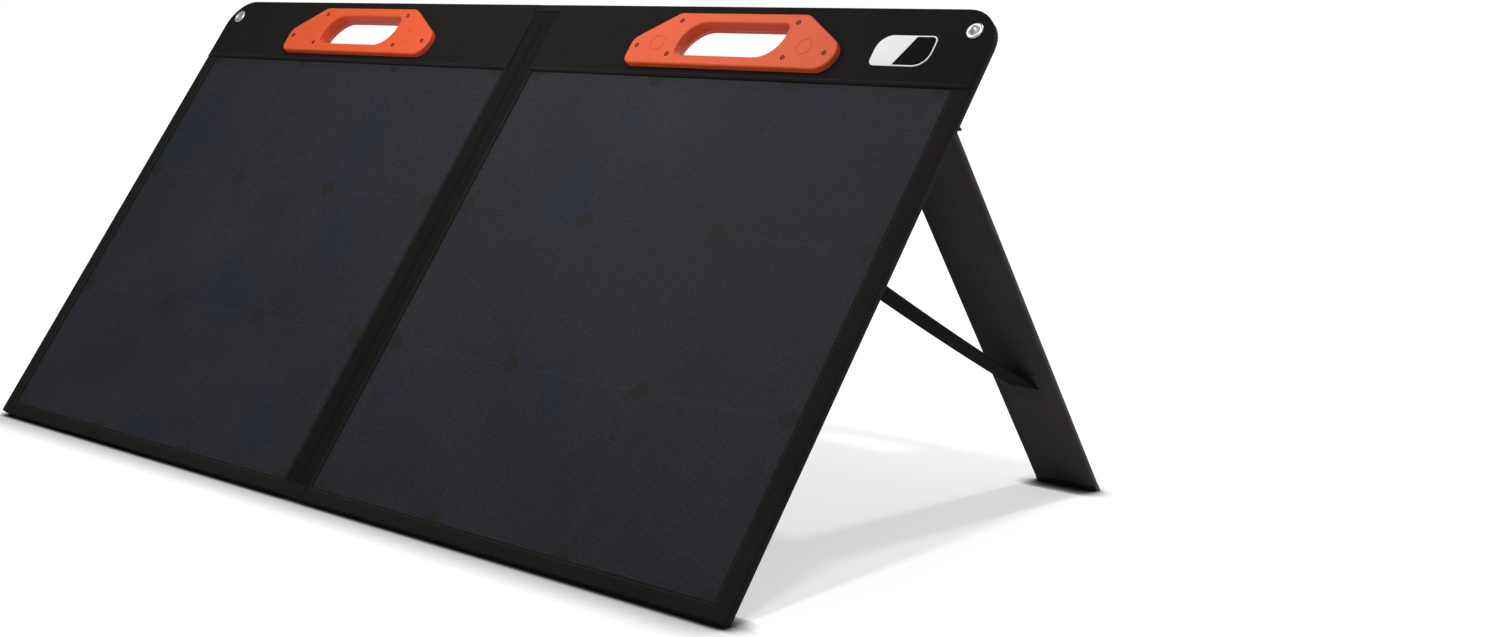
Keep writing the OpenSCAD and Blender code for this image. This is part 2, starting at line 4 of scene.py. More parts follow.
import bpy
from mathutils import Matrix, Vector


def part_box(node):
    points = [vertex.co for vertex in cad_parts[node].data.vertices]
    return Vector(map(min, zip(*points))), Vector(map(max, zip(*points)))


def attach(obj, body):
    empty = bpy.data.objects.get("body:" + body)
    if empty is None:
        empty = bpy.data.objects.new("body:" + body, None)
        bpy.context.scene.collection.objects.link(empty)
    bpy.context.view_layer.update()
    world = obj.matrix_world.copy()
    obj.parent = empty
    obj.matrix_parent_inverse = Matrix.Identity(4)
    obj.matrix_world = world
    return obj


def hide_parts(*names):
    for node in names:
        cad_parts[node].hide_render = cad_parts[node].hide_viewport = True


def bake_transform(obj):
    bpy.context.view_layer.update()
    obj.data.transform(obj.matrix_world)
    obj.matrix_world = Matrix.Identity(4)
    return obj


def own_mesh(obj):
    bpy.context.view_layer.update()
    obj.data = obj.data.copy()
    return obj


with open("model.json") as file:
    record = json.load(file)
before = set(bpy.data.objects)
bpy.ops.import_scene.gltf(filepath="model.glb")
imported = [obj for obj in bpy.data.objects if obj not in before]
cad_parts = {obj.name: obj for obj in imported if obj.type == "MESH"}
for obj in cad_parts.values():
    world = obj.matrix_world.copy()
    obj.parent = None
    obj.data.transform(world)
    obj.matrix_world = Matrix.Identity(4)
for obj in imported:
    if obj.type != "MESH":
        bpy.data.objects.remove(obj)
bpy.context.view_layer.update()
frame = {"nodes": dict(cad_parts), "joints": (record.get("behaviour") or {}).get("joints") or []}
nodes = frame["nodes"]
hinges = {joint["name"]: joint for joint in frame["joints"]}
bpy.ops.object.select_all(action="DESELECT")
bpy.context.scene.view_settings.view_transform = "Standard"


# The camera stands to the right of the open panels, a little above their top edge,
# and looks down on them with a small shift that keeps the far back corner in view.
camera_place = (1.4118, -1.3592, 0.4784)
camera_aim = (-0.6828, 0.6944, -0.2272)


def facing(aim):
    return Vector(aim).to_track_quat("-Z", "Y").to_euler()


bpy.ops.object.camera_add(location=camera_place, rotation=facing(camera_aim))
camera = bpy.context.object
camera.data.sensor_width = 36
camera.data.lens = 45.85
camera.data.shift_x = 0.1267
camera.data.shift_y = 0.0743
bpy.context.scene.camera = camera


# The studio: a white floor with a painted contact shadow close to what stands on it, strongest in front of
# the hem, a sun from the front, two from behind, a lamp, and a white room that the camera sees.
def add_node(tree, kind, **settings):
    node = tree.nodes.new(kind)
    for key, value in settings.items():
        setattr(node, key, value)
    return node


def join(tree, *chain):
    for source, target in zip(chain[::2], chain[1::2]):
        tree.links.new(source, target)


def preset(node, **values):
    """Give sockets their values. An underscore in a key stands for a blank in the socket's name."""
    for key, value in values.items():
        node.inputs[key.replace("_", " ")].default_value = value


def calc(tree, operation, first, second=None):
    node = add_node(tree, "ShaderNodeMath", operation=operation)
    for socket, value in zip(node.inputs, (first, second)):
        if isinstance(value, (int, float)):
            socket.default_value = value
        elif value is not None:
            join(tree, value, socket)
    return node.outputs["Value"]


white = (1, 1, 1, 1)
bpy.ops.mesh.primitive_plane_add(size=60, location=(0, 0, -0.0004))
floor = bpy.context.object
floor.name = "studio_floor"
floor_paint = bpy.data.materials.new("studio_white")
floor_paint.use_nodes = True
paint = floor_paint.node_tree
paint.nodes.clear()
floor_out = add_node(paint, "ShaderNodeOutputMaterial")
floor_plain = add_node(paint, "ShaderNodeBsdfDiffuse")
preset(floor_plain, Color=(0.85, 0.85, 0.85, 1))
floor_shade = add_node(paint, "ShaderNodeBsdfDiffuse")
floor_glow = add_node(paint, "ShaderNodeEmission")
floor_spot = add_node(paint, "ShaderNodeNewGeometry")
floor_split = add_node(paint, "ShaderNodeSeparateXYZ")
# painted contact shadow: ambient occlusion darkens the floor's glow and colour, reaching further in front of
# the hem
floor_reach = add_node(paint, "ShaderNodeMapRange")
preset(floor_reach, From_Min=-0.30, From_Max=-0.27, To_Min=0.065, To_Max=0.022)
floor_touch = add_node(paint, "ShaderNodeAmbientOcclusion")
painted_contact_shadow = calc(paint, "POWER", floor_touch.outputs["AO"], 4.2)
floor_seen = add_node(paint, "ShaderNodeAddShader")
floor_ray = add_node(paint, "ShaderNodeLightPath")
floor_mix = add_node(paint, "ShaderNodeMixShader")
join(paint,
     floor_spot.outputs["Position"], floor_split.inputs["Vector"],
     floor_split.outputs["Y"], floor_reach.inputs["Value"],
     floor_reach.outputs["Result"], floor_touch.inputs["Distance"],
     calc(paint, "MULTIPLY", painted_contact_shadow, 0.7), floor_shade.inputs["Color"],
     calc(paint, "MULTIPLY", painted_contact_shadow, 0.55), floor_glow.inputs["Strength"],
     floor_shade.outputs["BSDF"], floor_seen.inputs[0],
     floor_glow.outputs["Emission"], floor_seen.inputs[1],
     floor_ray.outputs["Is Camera Ray"], floor_mix.inputs["Fac"],
     floor_plain.outputs["BSDF"], floor_mix.inputs[1],
     floor_seen.outputs["Shader"], floor_mix.inputs[2],
     floor_mix.outputs["Shader"], floor_out.inputs["Surface"])
floor.data.materials.append(floor_paint)

room = bpy.data.worlds.new("studio_room")
bpy.context.scene.world = room
room.use_nodes = True
air = room.node_tree
room_light = air.nodes["Background"]
preset(room_light, Color=white, Strength=0.28)
room_white = add_node(air, "ShaderNodeBackground")
preset(room_white, Color=white, Strength=1)
room_ray = add_node(air, "ShaderNodeLightPath")
room_mix = add_node(air, "ShaderNodeMixShader")
join(air,
     calc(air, "MAXIMUM", room_ray.outputs["Is Camera Ray"], room_ray.outputs["Is Transmission Ray"]),
     room_mix.inputs["Fac"],
     room_light.outputs["Background"], room_mix.inputs[1],
     room_white.outputs["Background"], room_mix.inputs[2],
     room_mix.outputs["Shader"], air.nodes["World Output"].inputs["Surface"])

for name, aim, energy, angle in (("studio_sun", (-0.02, 0.27, -0.452), 0.9, 4),
                                 ("studio_back_sun", (-0.125, -0.28, -1), 0.55, 4),
                                 ("studio_low_sun", (-0.2, -1, 0), 2.6, 16)):
    bpy.ops.object.light_add(type="SUN", location=(0, 0, 3), rotation=facing(aim))
    sun = bpy.context.object
    sun.name = name
    sun.data.energy = energy
    sun.data.angle = math.radians(angle)
bpy.ops.object.light_add(type="AREA", location=(-0.05, -0.22, 0.8), rotation=facing((0.05, 0.25, -0.45)))
top_lamp = bpy.context.object
top_lamp.name = "studio_top_lamp"
top_lamp.data.size = 0.6
top_lamp.data.energy = 2.15


# Stiff inner parts that the fabric hides: boards, laminate sheet and cells of both
# panels, and the plated closing magnets. All are flat and plain to the eye.
def new_finish(name, colour, roughness, specular=0.5, metallic=0.0):
    finish = bpy.data.materials.new(name)
    finish.use_nodes = True
    tree = finish.node_tree
    shader = tree.nodes["Principled BSDF"]
    preset(shader, Base_Color=(*colour, 1), Roughness=roughness, Specular_IOR_Level=specular,
           Metallic=metallic)
    return finish, tree, shader


def new_group(name, inputs, outputs):
    """A node group with these sockets, each given by its name and its kind."""
    group = bpy.data.node_groups.new(name, "ShaderNodeTree")
    for way, sockets in (("INPUT", inputs), ("OUTPUT", outputs)):
        for label, kind in sockets:
            group.interface.new_socket(label, in_out=way, socket_type="NodeSocket" + kind)
    return group, add_node(group, "NodeGroupInput"), add_node(group, "NodeGroupOutput")


def add_relief(tree, shader, height, strength, depth):
    relief = add_node(tree, "ShaderNodeBump")
    preset(relief, Strength=strength, Distance=depth)
    join(tree, height, relief.inputs["Height"], relief.outputs["Normal"], shader.inputs["Normal"])


# One group gives any smooth or moulded surface its faint mottle of tone and grain.
mottle, mottle_in, mottle_out = new_group(
    "faint_mottle", (("Vector", "Vector"), ("Scale", "Float"), ("Dark", "Color"), ("Light", "Color")),
    (("Colour", "Color"), ("Grain", "Float")))
mottle_noise = add_node(mottle, "ShaderNodeTexNoise")
preset(mottle_noise, Detail=5)
mottle_mix = add_node(mottle, "ShaderNodeMix", data_type="RGBA")
join(mottle,
     mottle_in.outputs["Vector"], mottle_noise.inputs["Vector"],
     mottle_in.outputs["Scale"], mottle_noise.inputs["Scale"],
     mottle_noise.outputs["Fac"], mottle_mix.inputs["Factor"],
     mottle_in.outputs["Dark"], mottle_mix.inputs["A"],
     mottle_in.outputs["Light"], mottle_mix.inputs["B"],
     mottle_mix.outputs["Result"], mottle_out.inputs["Colour"],
     mottle_noise.outputs["Fac"], mottle_out.inputs["Grain"])


def mottled_finish(name, dark, light, roughness, scale=60, specular=0.5, metallic=0.0, bump=0.0):
    finish, tree, shader = new_finish(name, light, roughness, specular, metallic)
    place = add_node(tree, "ShaderNodeTexCoord")
    group = add_node(tree, "ShaderNodeGroup", node_tree=mottle)
    preset(group, Scale=scale, Dark=(*dark, 1), Light=(*light, 1))
    join(tree, place.outputs["Object"], group.inputs["Vector"],
         group.outputs["Colour"], shader.inputs["Base Color"])
    if bump:
        add_relief(tree, shader, group.outputs["Grain"], bump, 0.0002)
    return finish


def coat(piece, finish):
    piece.data.materials.clear()
    piece.data.materials.append(finish)


def dress(node_name, finish):
    coat(nodes[node_name], finish)


board_finish = mottled_finish("stiff_board", (0.07, 0.07, 0.07), (0.11, 0.11, 0.105),
                              roughness=0.7, scale=90)
sheet_finish = mottled_finish("laminate_sheet", (0.62, 0.62, 0.6), (0.72, 0.72, 0.7),
                              roughness=0.5, scale=40)
cell_finish = mottled_finish("silicon_cell", (0.012, 0.016, 0.03), (0.02, 0.026, 0.045),
                             roughness=0.25, scale=30)
nickel_finish = mottled_finish("bright_nickel", (0.74, 0.73, 0.71), (0.9, 0.89, 0.87),
                               roughness=0.28, scale=180, metallic=1.0, bump=0.05)
for hand in ("right", "left"):
    dress(hand + "_backing_board", board_finish)
    dress(hand + "_top_board", board_finish)
    dress(hand + "_back_sheet", sheet_finish)
    dress(hand + "_solar_cells", cell_finish)
    dress(hand + "_handle_magnets", nickel_finish)


# The clear front film over the cells: a hard sheet pressed with a fine square grid of
# dimples, so the dark cells under it show only as faint lines and corner diamonds.
panel_tilt = math.radians(52)
hem_face = 0.0086
panel_foot_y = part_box("right_bottom_hem")[0].y + hem_face * math.sin(panel_tilt)
cell_pitch = 0.159
dot_pitch = 0.0021


def turned_vector(tree, turn, place):
    """Coordinates in a plane that is turned about the x axis and moved to a place."""
    spot = add_node(tree, "ShaderNodeTexCoord")
    plane = add_node(tree, "ShaderNodeMapping", vector_type="TEXTURE")
    preset(plane, Location=place, Rotation=(turn, 0, 0))
    join(tree, spot.outputs["Object"], plane.inputs["Vector"])
    return plane.outputs["Vector"]


def panel_vector(tree):
    return turned_vector(tree, panel_tilt, (0, panel_foot_y, 0))


def film_noise(tree, scale, detail):
    noise = add_node(tree, "ShaderNodeTexNoise")
    preset(noise, Scale=scale, Detail=detail)
    join(tree, panel_vector(tree), noise.inputs["Vector"])
    return noise.outputs["Fac"]


def blended(tree, share, first, second, **settings):
    """One colour laid over another. Either is a colour or a socket."""
    node = add_node(tree, "ShaderNodeMix", data_type="RGBA", **settings)
    for key, value in (("Factor", share), ("A", first), ("B", second)):
        if isinstance(value, tuple):
            node.inputs[key].default_value = (*value, 1)
        else:
            join(tree, value, node.inputs[key])
    return node.outputs["Result"]


def film_finish(name, grid_x, grid_y):
    finish, tree, shader = new_finish(name, (0.02, 0.02, 0.025), 0.55, 0.1)
    spread = add_node(tree, "ShaderNodeSeparateXYZ")
    join(tree, panel_vector(tree), spread.inputs["Vector"])
    across, up = spread.outputs["X"], spread.outputs["Y"]
    # distance from the nearest line between two cells, each way
    cell_x = calc(tree, "PINGPONG", calc(tree, "SUBTRACT", across, grid_x), cell_pitch / 2)
    cell_y = calc(tree, "PINGPONG", calc(tree, "SUBTRACT", up, grid_y), cell_pitch / 2)
    line = calc(tree, "LESS_THAN", calc(tree, "MINIMUM", cell_x, cell_y), 0.0011)
    diamond = calc(tree, "LESS_THAN", calc(tree, "ADD", cell_x, cell_y), 0.0115)
    # dimples pressed into the film, each a little different
    dots = calc(tree, "MULTIPLY", calc(tree, "PINGPONG", across, dot_pitch / 2),
                calc(tree, "PINGPONG", up, dot_pitch / 2))
    dots = calc(tree, "MULTIPLY", dots, 4 / dot_pitch ** 2)
    dots = calc(tree, "MULTIPLY", dots, calc(tree, "MULTIPLY", film_noise(tree, 330, 2), 2))
    # the dark cells through the film, with bluer patches
    patches = calc(tree, "MULTIPLY", calc(tree, "SUBTRACT", film_noise(tree, 9, 2), 0.5), 5)
    patches = calc(tree, "MULTIPLY", calc(tree, "MINIMUM", calc(tree, "MAXIMUM", patches, 0), 1), 0.6)
    tone = blended(tree, film_noise(tree, 7, 3), (0.0091, 0.0087, 0.0108), (0.0163, 0.0157, 0.0196))
    tone = blended(tree, patches, tone, (0.0084, 0.0112, 0.0190))
    tone = blended(tree, dots, tone, (3.4, 3.5, 3.6), blend_type="MULTIPLY")
    tone = blended(tree, calc(tree, "MULTIPLY", line, 0.22), tone, (0.027, 0.035, 0.047))
    tone = blended(tree, calc(tree, "MULTIPLY", diamond, 0.8), tone, (0.016, 0.015, 0.012))
    join(tree, tone, shader.inputs["Base Color"])
    add_relief(tree, shader, dots, 0.35, 0.0003)
    return finish


# window from 21 to 516 mm across and 14 to 493 mm up, with three by three cells in it
cell_line_x = 0.2685 - 1.5 * cell_pitch
cell_line_y = 0.2535 - 1.5 * cell_pitch
dress("right_front_film", film_finish("right_film", cell_line_x, cell_line_y))
dress("left_front_film", film_finish("left_film", -cell_line_x, cell_line_y))


# The back covers: black woven polyester over the back of each panel, in two pieces sewn along
# a low seam, turned in at the edges, with a hole for the handle's collar and the eyelet.
weave, weave_in, weave_out = new_group(
    "plain_weave", (("Vector", "Vector"), ("Threads", "Float"), ("Dark", "Color"), ("Light", "Color")),
    (("Colour", "Color"), ("Height", "Float")))
weave_scale = add_node(weave, "ShaderNodeVectorMath", operation="SCALE")
weave_split = add_node(weave, "ShaderNodeSeparateXYZ")
weave_checks = add_node(weave, "ShaderNodeTexChecker")
preset(weave_checks, Scale=1)
weave_fuzz = add_node(weave, "ShaderNodeTexNoise")
preset(weave_fuzz, Scale=24, Detail=6)
warp = calc(weave, "MULTIPLY", calc(weave, "PINGPONG", weave_split.outputs["X"], 0.5), 2)
weft = calc(weave, "MULTIPLY", calc(weave, "PINGPONG", weave_split.outputs["Y"], 0.5), 2)
over = calc(weave, "MULTIPLY", warp, weave_checks.outputs["Fac"])
under = calc(weave, "MULTIPLY", weft, calc(weave, "SUBTRACT", 1, weave_checks.outputs["Fac"]))
thread = calc(weave, "ADD", over, under)
shade = calc(weave, "ADD", calc(weave, "MULTIPLY", thread, 0.55),
             calc(weave, "MULTIPLY", weave_fuzz.outputs["Fac"], 0.45))
join(weave,
     weave_in.outputs["Vector"], weave_scale.inputs[0],
     weave_in.outputs["Threads"], weave_scale.inputs["Scale"],
     weave_scale.outputs["Vector"], weave_split.inputs["Vector"],
     weave_scale.outputs["Vector"], weave_checks.inputs["Vector"],
     weave_in.outputs["Vector"], weave_fuzz.inputs["Vector"],
     blended(weave, shade, weave_in.outputs["Dark"], weave_in.outputs["Light"]), weave_out.inputs["Colour"],
     thread, weave_out.inputs["Height"])


def woven_finish(name, dark, light, threads, turn=None, place=None, roughness=0.85, specular=0.05, bump=0.4):
    finish, tree, shader = new_finish(name, light, roughness, specular)
    group = add_node(tree, "ShaderNodeGroup", node_tree=weave)
    preset(group, Threads=threads, Dark=(*dark, 1), Light=(*light, 1))
    vector = panel_vector(tree) if turn is None else turned_vector(tree, turn, place)
    join(tree, vector, group.inputs["Vector"], group.outputs["Colour"], shader.inputs["Base Color"])
    add_relief(tree, shader, group.outputs["Height"], bump, 0.0002)
    return finish


def only(piece):
    bpy.ops.object.select_all(action="DESELECT")
    piece.select_set(True)
    bpy.context.view_layer.objects.active = piece


def gather(name, rows):
    only(rows[0])
    for row in rows:
        row.select_set(True)
    bpy.ops.object.join()
    rows[0].name = rows[0].data.name = name
    return rows[0]


def apply_modifier(piece, kind, **settings):
    only(piece)
    modifier = piece.modifiers.new(kind.lower(), kind)
    for key, value in settings.items():
        setattr(modifier, key, value)
    bpy.ops.object.modifier_apply(modifier=modifier.name)


def freeze(piece):
    only(piece)
    bpy.ops.object.transform_apply(location=True, rotation=True, scale=True)


def select_none(kind):
    """Leave the active mesh with nothing selected, ready to pick points, edges or faces of it."""
    bpy.ops.object.mode_set(mode="EDIT")
    bpy.ops.mesh.select_mode(type=kind)
    bpy.ops.mesh.select_all(action="DESELECT")
    bpy.ops.object.mode_set(mode="OBJECT")


def outline(corners, rounds):
    """A closed line with these corners, each rounded by its own reach."""
    bpy.ops.object.select_all(action="DESELECT")
    bpy.ops.mesh.primitive_circle_add(vertices=len(corners), radius=1, fill_type="NGON")
    line = bpy.context.object
    for vertex, (x, y) in zip(line.data.vertices, corners):
        vertex.co = (x, y, 0)
    for (x, y), reach in zip(corners, rounds):
        if reach:
            select_none("VERT")
            min(line.data.vertices, key=lambda v: (v.co.x - x) ** 2 + (v.co.y - y) ** 2).select = True
            bpy.ops.object.mode_set(mode="EDIT")
            bpy.ops.mesh.bevel(offset=reach, segments=9, affect="VERTICES")
            bpy.ops.object.mode_set(mode="OBJECT")
    bpy.ops.object.mode_set(mode="EDIT")
    bpy.ops.mesh.select_all(action="SELECT")
    bpy.ops.mesh.delete(type="ONLY_FACE")
    bpy.ops.object.mode_set(mode="OBJECT")
    return line


def cut_plate(name, corners, rounds, start, end, *holes, rim=0.0):
    """A flat plate with this outline and these holes, from one level to another, where its rim is rounded."""
    piece = outline(corners, rounds)
    piece.name = piece.data.name = name
    lines = [outline(*hole) for hole in holes]
    only(piece)
    for line in lines:
        line.select_set(True)
    if lines:
        bpy.ops.object.join()
    bpy.ops.object.mode_set(mode="EDIT")
    bpy.ops.mesh.select_all(action="SELECT")
    if lines:
        bpy.ops.mesh.fill(use_beauty=True)
    else:
        bpy.ops.mesh.edge_face_add()
    bpy.ops.mesh.select_all(action="SELECT")
    bpy.ops.transform.translate(value=(0, 0, start))
    rise = (end - start) - math.copysign(rim, end - start)
    bpy.ops.mesh.extrude_region_move(TRANSFORM_OT_translate={"value": (0, 0, rise)})
    bpy.ops.mesh.select_all(action="SELECT")
    bpy.ops.mesh.normals_make_consistent(inside=False)
    bpy.ops.mesh.select_mode(type="FACE")
    bpy.ops.mesh.select_all(action="DESELECT")
    bpy.ops.object.mode_set(mode="OBJECT")
    for face in piece.data.polygons:
        face.select = abs(face.center.z - start - rise) < 1e-6
    if any(face.select and face.normal.z * rise < 0 for face in piece.data.polygons):
        piece.data.flip_normals()
    if rim:
        bpy.ops.object.mode_set(mode="EDIT")
        for inward, up in ((0.134, 0.5), (0.366, 0.366), (0.5, 0.134)):
            bpy.ops.mesh.inset(thickness=inward * rim, depth=up * rim)
        bpy.ops.mesh.inset(thickness=0.06 * rim, depth=0)
        bpy.ops.object.mode_set(mode="OBJECT")
    return piece


def box_corners(x0, y0, x1, y1):
    return [(x0, y0), (x1, y0), (x1, y1), (x0, y1)]


def cut_away(piece, *cutters):
    for cutter in cutters:
        apply_modifier(piece, "BOOLEAN", operation="DIFFERENCE", object=cutter, solver="EXACT")
        bpy.data.objects.remove(cutter)


def soften(piece, width, segments=3, angle=40):
    apply_modifier(piece, "BEVEL", width=width, segments=segments, limit_method="ANGLE",
                   angle_limit=math.radians(angle))


def settle(piece, turn, place):
    piece.rotation_euler = (turn, 0, 0)
    piece.location = place
    freeze(piece)
    bpy.ops.object.shade_smooth_by_angle(angle=math.radians(35))


def lay_on_panel(piece):
    settle(piece, panel_tilt, (0, panel_foot_y, 0))


def fit(piece, finish, body, slot, *replaced):
    coat(piece, finish)
    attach(piece, body)
    if replaced:
        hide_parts(*replaced)


fold_edge, panel_edge, panel_top = 0.016, 0.534, 0.574
lap_edge, lap_low, lap_top, lap_corner = 0.523, 0.012, 0.563, 0.026
panel_corner = 0.035
cover_thick, cover_rim = 0.0012, 0.0004
seam_low, seam_high = 0.0949, 0.0953
opening_shift, opening_wide, opening_tall = -0.004, 0.061, 0.0185
cloth_room, barrel_room = 0.0028, 0.0052
hands = (("right", 1), ("left", -1))
handle_places = {"right": (0.267, 0.532), "left": (-0.267, 0.532)}
eyelet_places = {"right": (0.514, 0.551), "left": (-0.514, 0.551)}


def hand_opening(hand, grow, wider=0.0):
    """The hand opening's corners and roundings, larger by grow and, across, by wider as well."""
    x, y = handle_places[hand]
    wide, tall = opening_wide + grow + wider, opening_tall + grow
    big, small = 0.026 + grow, 0.006 + grow
    x += opening_shift
    return box_corners(x - wide, y - tall, x + wide, y + tall), (small, big, small, big)


def eyelet_hole(hand, radius):
    x, y = eyelet_places[hand]
    turns = [math.tau * step / 40 for step in range(40)]
    return [(x + radius * math.cos(turn), y + radius * math.sin(turn)) for turn in turns], (0,) * 40


cover_finish = woven_finish("back_cover_cloth", (0.0150, 0.0143, 0.0136), (0.0420, 0.0402, 0.0381),
                            threads=1500)
for hand, side in hands:
    lower_sheet = cut_plate("lower_sheet", box_corners(side * fold_edge, lap_low, side * lap_edge, seam_low),
                            (0,) * 4, cover_thick, 0, rim=cover_rim)
    upper_sheet = cut_plate("upper_sheet", box_corners(side * fold_edge, seam_high, side * lap_edge, lap_top),
                            (0, 0, lap_corner, 0), cover_thick, 0,
                            hand_opening(hand, cloth_room), eyelet_hole(hand, barrel_room), rim=cover_rim)
    back_cover = gather(hand + "_back_sheeting", [lower_sheet, upper_sheet])
    lay_on_panel(back_cover)
    fit(back_cover, cover_finish, hand + "_panel", "fabric", hand + "_back_cover")


# The frame round each window: black polyester tape sewn flat over the film's edge and out
# to the side of the panel, with a row of stitches near the film.
board_face, frame_face = 0.0076, 0.0087
window_in, window_out, window_low, window_top = 0.021, 0.516, 0.014, 0.4935
tape_finish = woven_finish("frame_tape", (0.0070, 0.0061, 0.0055), (0.0212, 0.0184, 0.0163), threads=1100)
thread_finish = mottled_finish("black_thread", (0.012, 0.011, 0.0105), (0.032, 0.03, 0.028),
                               roughness=0.6, scale=900, specular=0.3)


def stitch_row(start, end, level, pitch=0.0042, size=(0.0029, 0.0006, 0.0005)):
    """A row of raised stitches from one point of a face to another."""
    bpy.ops.object.select_all(action="DESELECT")
    bpy.ops.mesh.primitive_cube_add(size=1)
    row = bpy.context.object
    row.scale = size
    freeze(row)
    bpy.ops.object.mode_set(mode="EDIT")
    bpy.ops.mesh.select_all(action="SELECT")
    bpy.ops.mesh.bevel(offset=0.00018, segments=1, affect="EDGES")
    bpy.ops.object.mode_set(mode="OBJECT")
    count = max(1, int(math.dist(start, end) / pitch))
    apply_modifier(row, "ARRAY", count=count, use_relative_offset=False, use_constant_offset=True,
                   constant_offset_displace=(math.dist(start, end) / count, 0, 0))
    row.rotation_euler = (0, 0, math.atan2(end[1] - start[1], end[0] - start[0]))
    row.location = (*start, level)
    freeze(row)
    return row


def crossed_seams(name, x, low, high, level):
    """The stitching of a strap's end: a box with a cross in it."""
    left, right = x - 0.0125, x + 0.0125
    return gather(name, [stitch_row(start, end, level, 0.0034) for start, end in (
        ((left, low), (right, low)), ((right, low), (right, high)), ((right, high), (left, high)),
        ((left, high), (left, low)), ((left, low), (right, high)), ((right, low), (left, high)))])


for hand, side in hands:
    around = box_corners(side * fold_edge, 0, side * panel_edge, window_top)
    window_frame = cut_plate(hand + "_window_frame", around, (0, 0.003, 0, 0), board_face, frame_face)
    within = box_corners(side * window_in, window_low, side * window_out, 0.6)
    cut_away(window_frame, cut_plate("cutter", within, (0.002, 0.002, 0, 0), 0, 0.02))
    soften(window_frame, 0.0005, 3)
    lay_on_panel(window_frame)
    fit(window_frame, tape_finish, hand + "_panel", "fabric", hand + "_front_frame")
    frame_seams = gather(hand + "_frame_seams", [
        stitch_row((side * 0.022, 0.0115), (side * 0.517, 0.0115), frame_face),
        stitch_row((side * 0.5185, 0.0115), (side * 0.5185, 0.4900), frame_face)])
    lay_on_panel(frame_seams)
    fit(frame_seams, thread_finish, hand + "_panel", "fabric")


# The edge tape: a strip of the same tape that closes the outer side, the top and the
# bottom of a panel, and laps onto its back.
tape_thick = 0.0015
for hand, side in hands:
    around = box_corners(side * fold_edge, 0, side * panel_edge, panel_top)
    edge_tape = cut_plate(hand + "_edge_tape", around, (0, 0.004, panel_corner, 0), 0, 0.0077)
    within = box_corners(side * 0.01, tape_thick, side * (panel_edge - tape_thick), panel_top - tape_thick)
    inner_rounds = (0, 0.003, panel_corner - tape_thick, 0)
    cut_away(edge_tape, cut_plate("cutter", within, inner_rounds, cover_thick, 0.05))
    lapped = box_corners(side * 0.01, lap_low, side * lap_edge, lap_top)
    cut_away(edge_tape, cut_plate("cutter", lapped, (0, 0, lap_corner, 0), -0.05, 0.05))
    soften(edge_tape, 0.0004, 2)
    lay_on_panel(edge_tape)
    fit(edge_tape, tape_finish, hand + "_panel", "webbing", hand + "_edge_binding", hand + "_bottom_hem")
    edge_seams = gather(hand + "_edge_seams", [
        stitch_row((side * 0.020, 0.0100), (side * 0.5245, 0.0100), 0),
        stitch_row((side * 0.5250, 0.0100), (side * 0.5250, 0.5350), 0),
        stitch_row((side * 0.020, 0.5650), (side * 0.4950, 0.5650), 0)])
    lay_on_panel(edge_seams)
    fit(edge_seams, thread_finish, hand + "_panel", "fabric")


# The top bands: stiffened cloth bands that carry the handles and hide the laminate's
# upper edge. The right one has a plain blank label sewn beside its handle.
band_finish = woven_finish("band_cloth", (0.0060, 0.0054, 0.0052), (0.0178, 0.0163, 0.0157), threads=1500)
band_low, band_face = 0.493, 0.0096
for hand, side in hands:
    around = box_corners(side * fold_edge, band_low, side * panel_edge, panel_top)
    top_band = cut_plate(hand + "_top_band_cloth", around, (0, 0, panel_corner, 0), board_face, band_face,
                         hand_opening(hand, cloth_room), eyelet_hole(hand, barrel_room), rim=0.0012)
    lay_on_panel(top_band)
    fit(top_band, band_finish, hand + "_panel", "fabric", hand + "_top_band")
    band_seam = stitch_row((side * 0.020, 0.4965), (side * 0.530, 0.4965), band_face)
    band_seam.name = band_seam.data.name = hand + "_band_seam"
    lay_on_panel(band_seam)
    fit(band_seam, thread_finish, hand + "_panel", "fabric")

label_finish = mottled_finish("label_cloth", (0.84, 0.84, 0.83), (0.9, 0.9, 0.89),
                              roughness=0.6, scale=300, specular=0.3)
label_dark = mottled_finish("label_dark_cloth", (0.003, 0.003, 0.003), (0.007, 0.0065, 0.0065),
                            roughness=0.7, scale=300, specular=0.05)
label = cut_plate("blank_label", box_corners(0.422, 0.513, 0.482, 0.545), (0.006, 0.015, 0.006, 0.015),
                  0.0094, 0.0100)
field_corners = [(0.4465, 0.5142), (0.4808, 0.5142), (0.4808, 0.5438), (0.4605, 0.5438)]
label_field = cut_plate("blank_label_field", field_corners, (0, 0.0138, 0.0048, 0), band_face, 0.0101)
for patch, finish in ((label, label_finish), (label_field, label_dark)):
    soften(patch, 0.0002, 2)
    lay_on_panel(patch)
    fit(patch, finish, "right_panel", "fabric")


# The soft fold: a front strip with two rolled ridges and a sewn crease between them, a flat
# back strip, tape that hems both ends, and the copper ribbon that wires panel to panel.
def sewn_strip(name, profile, low, high, thick, across=False, steps=1):
    """A strip of cloth with this cross-section, run up the panel or, with across, along its width."""
    bpy.ops.object.select_all(action="DESELECT")
    bpy.ops.mesh.primitive_grid_add(x_subdivisions=len(profile) - 1, y_subdivisions=steps, size=1)
    piece = bpy.context.object
    piece.name = piece.data.name = name
    for vertex in piece.data.vertices:
        u, z = profile[round((vertex.co.x + 0.5) * (len(profile) - 1))]
        run = low + (high - low) * (vertex.co.y + 0.5)
        vertex.co = (run, u, z) if across else (u, run, z)
    apply_modifier(piece, "SOLIDIFY", thickness=thick, offset=0 if across else -1)
    bpy.ops.object.mode_set(mode="EDIT")
    bpy.ops.mesh.select_all(action="SELECT")
    bpy.ops.mesh.normals_make_consistent(inside=False)
    bpy.ops.object.mode_set(mode="OBJECT")
    return piece


